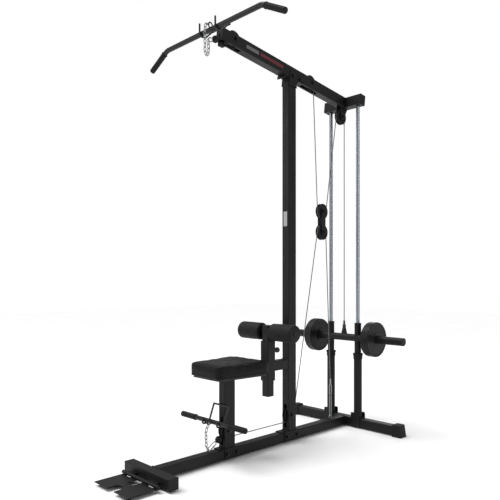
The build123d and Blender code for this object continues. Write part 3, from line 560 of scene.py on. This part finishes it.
def cable_runs():
    """The straight cable runs: the carriage and lower block runs on the frame, the upper block runs on no
    body.
    """
    carriage_run = run_ends(islands("high_cable_carriage_run")[0])
    shortening("carriage_cable", carriage_run, "high_cable_carriage_run")
    for n, solid in enumerate(islands("low_cable_block_runs")):
        ends = run_ends(solid)
        shortening(f"lower_block_cable_{n}", ends, "low_cable_block_runs")
    for n, solid in enumerate(islands("high_cable_block_runs")):
        low, high = run_ends(solid)
        run = cable_run(f"upper_block_cable_{n}", (low, high))
        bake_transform(run)
        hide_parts("high_cable_block_runs")


def chains():
    """The three chains: the anchor links on the frame, the bars' links on no body."""
    chain_piece("anchor_links", "anchor_chain", "frame")
    for name, node, bar in (("lat_links", "lat_chain", "lat_bar"), ("row_links", "row_chain", "row_bar")):
        piece = chain_piece(name, node, None)
        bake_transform(piece)


# ------------------------------------------------------------------ soft goods
def seat_cushion():
    """The vinyl pad: the CAD shape, a little smaller, blown up as cloth with its underside held."""
    low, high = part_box("seat_pad")
    source = nodes["seat_pad"].data.copy()
    middle_point = (low + high) / 2
    for v in source.vertices:
        v.co.x = middle_point.x + (v.co.x - middle_point.x) * 0.99
        v.co.y = middle_point.y + (v.co.y - middle_point.y) * 0.992
        v.co.z = low.z + (v.co.z - low.z) * 0.965
    shell = bpy.data.objects.new("seat_shell", source)
    bpy.context.scene.collection.objects.link(shell)
    remesh = shell.modifiers.new("remesh", "REMESH")
    remesh.mode = "VOXEL"
    remesh.voxel_size = 0.005
    shell.data = solved(shell)
    shell.modifiers.clear()
    start = np.array([v.co for v in shell.data.vertices])
    inflate(shell, low.z + 0.012)
    capped(shell, start, 0.0026)
    cushion = dressed(shell, low)
    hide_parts("seat_pad")


def inflate(shell, held_below):
    """Cloth with inner pressure for twenty frames; vertices under a height are pinned."""
    pins = shell.vertex_groups.new(name="pins")
    pins.add([v.index for v in shell.data.vertices if v.co.z < held_below], 1.0, "REPLACE")
    cloth = shell.modifiers.new("cloth", "CLOTH")
    cloth.settings.use_pressure = True
    cloth.settings.uniform_pressure_force = 1.6
    cloth.settings.vertex_group_mass = "pins"
    cloth.settings.effector_weights.gravity = 0.0
    cloth.settings.tension_stiffness = 40
    cloth.settings.bending_stiffness = 8.0
    scene = bpy.context.scene
    for step in range(1, 21):
        scene.frame_set(step)
    shell.data = solved(shell)
    shell.modifiers.clear()
    scene.frame_set(1)


def capped(shell, start, most):
    """Keeps each vertex within a distance of where it started."""
    for v, before in zip(shell.data.vertices, start):
        moved = v.co - Vector(before)
        if moved.length > most:
            v.co = Vector(before) + moved.normalized() * most


def dressed(shell, low):
    """Adds the lower seam, smooths once and gives the cushion its vinyl."""
    seam = low.z + 0.013
    middle_y = middle("seat_pad").y
    for v in shell.data.vertices:
        near = abs(v.co.z - seam)
        if near < 0.005:
            inward = (Vector((0, middle_y, v.co.z)) - v.co).normalized()
            v.co += inward * 0.0016 * (1 - near / 0.005)
    smooth = shell.modifiers.new("smooth", "SUBSURF")
    smooth.levels = 1
    smooth.render_levels = 1
    shell.data = solved(shell)
    shell.modifiers.clear()
    shell.data.materials.clear()
    shell.data.materials.append(MAT["seat_vinyl"])
    for face in shell.data.polygons:
        face.use_smooth = True
    shell.name = "seat_cushion"
    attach(shell, "frame")
    return shell


def foam_profile(length, radius, bore):
    """Half a section of a foam sleeve: soft shoulders, a barely swollen middle, dished ends."""
    shoulder = 0.009
    profile = [(0.004, bore), (0.003, radius * 0.45), (0.0008, radius * 0.72)]
    for k in range(9):
        t = pi / 2 * k / 8
        profile.append((shoulder - shoulder * cos(t), radius - shoulder + shoulder * sin(t)))
    for k in range(1, 24):
        f = k / 24
        profile.append((shoulder + (length - 2 * shoulder) * f, radius + 0.0006 * sin(pi * f)))
    back = [(length - along, r) for along, r in profile[:12]]
    return profile + back[::-1]


def foam_rollers():
    """Foam sleeves with a shallow end disc, each on its own body."""
    for side in ("left", "right"):
        node = f"roller_{side}"
        low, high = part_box(node)
        radius = (high.z - low.z) / 2
        length = high.x - low.x
        origin = Vector((low.x, (low.y + high.y) / 2, (low.z + high.z) / 2))
        verts, faces = lathe_mesh(foam_profile(length, radius, 0.0115), origin, (1, 0, 0), 96)
        for n, v in enumerate(verts):
            out = Vector((0, v.y - origin.y, v.z - origin.z))
            dent = noise.noise(v * 28.0) * 0.0007 + noise.noise(v * 90.0) * 0.0002
            verts[n] = v + out.normalized() * dent
        foam = new_piece(f"foam_{side}", verts, faces, MAT["foam"], node, "foam")
        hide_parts(node)
        outer = high.x if side == "right" else low.x
        way = (1, 0, 0) if side == "right" else (-1, 0, 0)
        disc = [(-0.004, 0.0112), (-0.004, 0.036), (0.0005, 0.037), (0.0012, 0.036), (0.0012, 0.0112)]
        plate = lathe_mesh(disc, (outer, origin.y, origin.z), way, 64)
        new_piece(f"foam_disc_{side}", *plate, MAT["cap_plastic"], node, "cap_plastic")


# ------------------------------------------------------------------ grips
def ribbed(length, radius):
    """A moulded grip: a flange, rounded ribs and a domed end."""
    profile = [(0.0, radius - 0.002), (0.0003, radius + 0.0012), (0.004, radius + 0.0015), (0.005, radius)]
    ribs = int((length - 0.018) / 0.005)
    for k in range(ribs):
        start = 0.006 + k * (length - 0.018) / ribs
        profile += [(start, radius - 0.0009), (start + 0.0012, radius), (start + 0.0032, radius)]
        profile.append((start + 0.0044, radius - 0.0009))
    for k in range(6):
        t = pi / 2 * k / 5
        profile.append((length - 0.006 + 0.006 * sin(t), radius - 0.006 + 0.006 * cos(t)))
    return profile


def grips():
    """Ribbed rubber grips on both bars, along the CAD grips' own axes."""
    for node, body in (("lat_bar_grips", "lat_bar"), ("row_bar_grips", "row_bar")):
        parts = []
        for solid in islands(node):
            centre, axes, sizes = lie(solid)
            way = axes[0] if axes[0].x * centre.x > 0 else -axes[0]
            start = centre - way * sizes[0] / 2
            parts.append(lathe_mesh(ribbed(sizes[0], sizes[1] / 2), start, way, 40))
        piece = new_piece(f"{body}_rubber", *joined(parts), MAT["grip_rubber"], body, "grip_rubber")
        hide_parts(node)


# ------------------------------------------------------------------ welds and films
def weld_line(a, b, radius=0.0028):
    """A weld bead between two points, with its ripples."""
    a, b = Vector(a), Vector(b)
    count = max(8, int((b - a).length / 0.0011))
    points = [a.lerp(b, k / count) for k in range(count + 1)]
    radii = [radius * (0.88 + 0.14 * abs(sin(k * 1.1))) for k in range(count + 1)]
    radii[0] = radii[-1] = radius * 0.5
    return tube_mesh(points, radii, 8)


def weld_frame(centre, half_a, half_b, axis_a, axis_b):
    """Beads round a rectangle given by its middle, half sizes and two directions."""
    a, b = Vector(axis_a) * half_a, Vector(axis_b) * half_b
    c = Vector(centre)
    corners = [c - a - b, c + a - b, c + a + b, c - a + b]
    return joined([weld_line(corners[k], corners[(k + 1) % 4]) for k in range(4)])


def welds():
    """Beads where the tubes of the frame meet."""
    mast_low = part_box("mast")[0]
    base_low, base_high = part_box("base_beam")
    arm_z = middle("thigh_holder").z
    half = (base_high.x - base_low.x) / 2
    mid_z = (base_low.z + base_high.z) / 2
    x, y, z = (1, 0, 0), (0, 1, 0), (0, 0, 1)
    parts = [weld_frame((0, base_low.y, mid_z), half, half, x, z)]
    parts.append(weld_frame((0, base_high.y, mid_z), half, half, x, z))
    parts.append(weld_frame((0, mast_low.y, arm_z - 0.03), 0.024, 0.026, x, z))
    parts.append(weld_frame((0, mast_y, mast_low.z), 0.024, 0.031, x, y))
    post_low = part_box("seat_post")[0]
    parts.append(weld_frame((0, middle("seat_post").y, post_low.z), 0.023, 0.034, x, y))
    new_piece("weld_beads", *joined(parts), MAT["frame_paint"], "frame", "frame_paint")


def film(name, corners, mat, lift):
    """A thin rounded label just above a face; corners run round it, lift is the face's outward step."""
    a, b, c, d = (Vector(p) for p in corners)
    across, up = b - a, d - a
    rim = []
    radius = 0.12 * min(across.length, up.length)
    ends = [(1, 1, pi), (-1, 1, 1.5 * pi), (-1, -1, 0), (1, -1, 0.5 * pi)]
    for corner, (sx, sy, turn) in zip((a, b, c, d), ends):
        hub = corner + across.normalized() * radius * sx + up.normalized() * radius * sy
        for k in range(5):
            t = turn + pi / 2 * k / 4
            rim.append(hub + (across.normalized() * cos(t) + up.normalized() * sin(t)) * radius)
    step = Vector(lift)
    count = len(rim)
    verts = [p + step * 0.3 for p in rim] + [p + step for p in rim]
    faces = [tuple(range(count)), tuple(range(count, 2 * count))]
    faces += [(k, (k + 1) % count, count + (k + 1) % count, count + k) for k in range(count)]
    return new_piece(name, verts, faces, mat, "frame", smooth=False)


def films():
    """A blank label on the mast and two plain stripes along the boom, with nothing written on them."""
    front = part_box("mast")[0].y
    half, low_z, high_z = 0.013, 1.172, 1.252
    rim = [(-half, front, low_z), (half, front, low_z), (half, front, high_z), (-half, front, high_z)]
    film("mast_label", rim, PALE_FILM, (0, -0.0006, 0))
    boom_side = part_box("boom")[1].x
    slope = Vector((0, cos(boom_tilt), -sin(boom_tilt)))
    up = Vector((0, sin(boom_tilt), cos(boom_tilt)))
    rise = up * 0.009
    stripes = (("grey", -0.35, -0.262, GREY_FILM), ("red", -0.25, -0.075, RED_FILM))
    for side in (-1, 1):
        base = Vector((side * boom_side, mast_y, 2.010))
        for name, start, end, mat in stripes:
            a, b = base + slope * start, base + slope * end
            corners = [a - rise, b - rise, b + rise, a + rise]
            hand = "left" if side < 0 else "right"
            film(f"boom_{name}_stripe_{hand}", corners, mat, (side * 0.0005, 0, 0))


# ------------------------------------------------------------------ stage, camera and light
def stage():
    """A wide floor just under the machine."""
    size = 12.0
    mesh = bpy.data.meshes.new("floor")
    corners = [(-size, -size, 0), (size, -size, 0), (size, size, 0), (-size, size, 0)]
    mesh.from_pydata(corners, [], [(0, 1, 2, 3)])
    mesh.materials.append(floor_finish())
    floor = bpy.data.objects.new("floor", mesh)
    floor.location.z = -floor_drop
    bpy.context.scene.collection.objects.link(floor)


def camera():
    """A level camera with a raised frame, seen from the front right."""
    data = bpy.data.cameras.new("camera")
    data.lens = 40.585
    data.sensor_width = 36.0
    data.shift_y = 0.0556
    data.clip_end = 60
    cam = bpy.data.objects.new("camera", data)
    cam.location = (2.0713, mast_y - 2.3014, 0.8913)
    cam.rotation_euler = (radians(90), 0, radians(45.965))
    bpy.context.scene.collection.objects.link(cam)
    bpy.context.scene.camera = cam


def area(name, place_at, target, size, power):
    data = bpy.data.lights.new(name, "AREA")
    data.shape = "RECTANGLE"
    data.size, data.size_y = size
    data.energy = power
    lamp = bpy.data.objects.new(name, data)
    lamp.location = place_at
    lamp.rotation_euler = (Vector(target) - Vector(place_at)).to_track_quat("-Z", "Y").to_euler()
    bpy.context.scene.collection.objects.link(lamp)


def sun(name, direction, angle, power):
    data = bpy.data.lights.new(name, "SUN")
    data.angle = radians(angle)
    data.energy = power
    lamp = bpy.data.objects.new(name, data)
    lamp.rotation_euler = Vector(direction).to_track_quat("-Z", "Y").to_euler()
    bpy.context.scene.collection.objects.link(lamp)


def light():
    """A white backdrop for the camera, a dimmer room for light, a wide soft key and small soft boxes."""
    world = bpy.data.worlds.new("studio")
    world.use_nodes = True
    tree = world.node_tree
    background = tree.nodes["Background"]
    background.inputs["Color"].default_value = (1, 1, 1, 1)
    path = tree.nodes.new("ShaderNodeLightPath")
    seen = spread(tree, path.outputs["Is Camera Ray"], 0.38, 1.0, 0.0, 1.0)
    tree.links.new(seen, background.inputs["Strength"])
    bpy.context.scene.world = world
    bpy.context.scene.view_settings.view_transform = "Standard"
    sun("soft_key", (0.45, 0.5, -1.6), 40, 2.6)
    area("left_box", (-2.6, -3.4, 2.6), (0, 0, 1.0), (0.9, 2.6), 34)
    area("right_box", (4.4, 1.2, 2.2), (0, 0.2, 1.0), (0.9, 3.0), 38)
    area("back_box", (-1.8, 4.4, 3.0), (0, 0.2, 1.0), (1.6, 2.4), 34)


paint_nodes()
camera()
cable_runs()
chains()
cable_end_pieces()
seat_cushion()
foam_rollers()
grips()
welds()
films()
stage()
light()
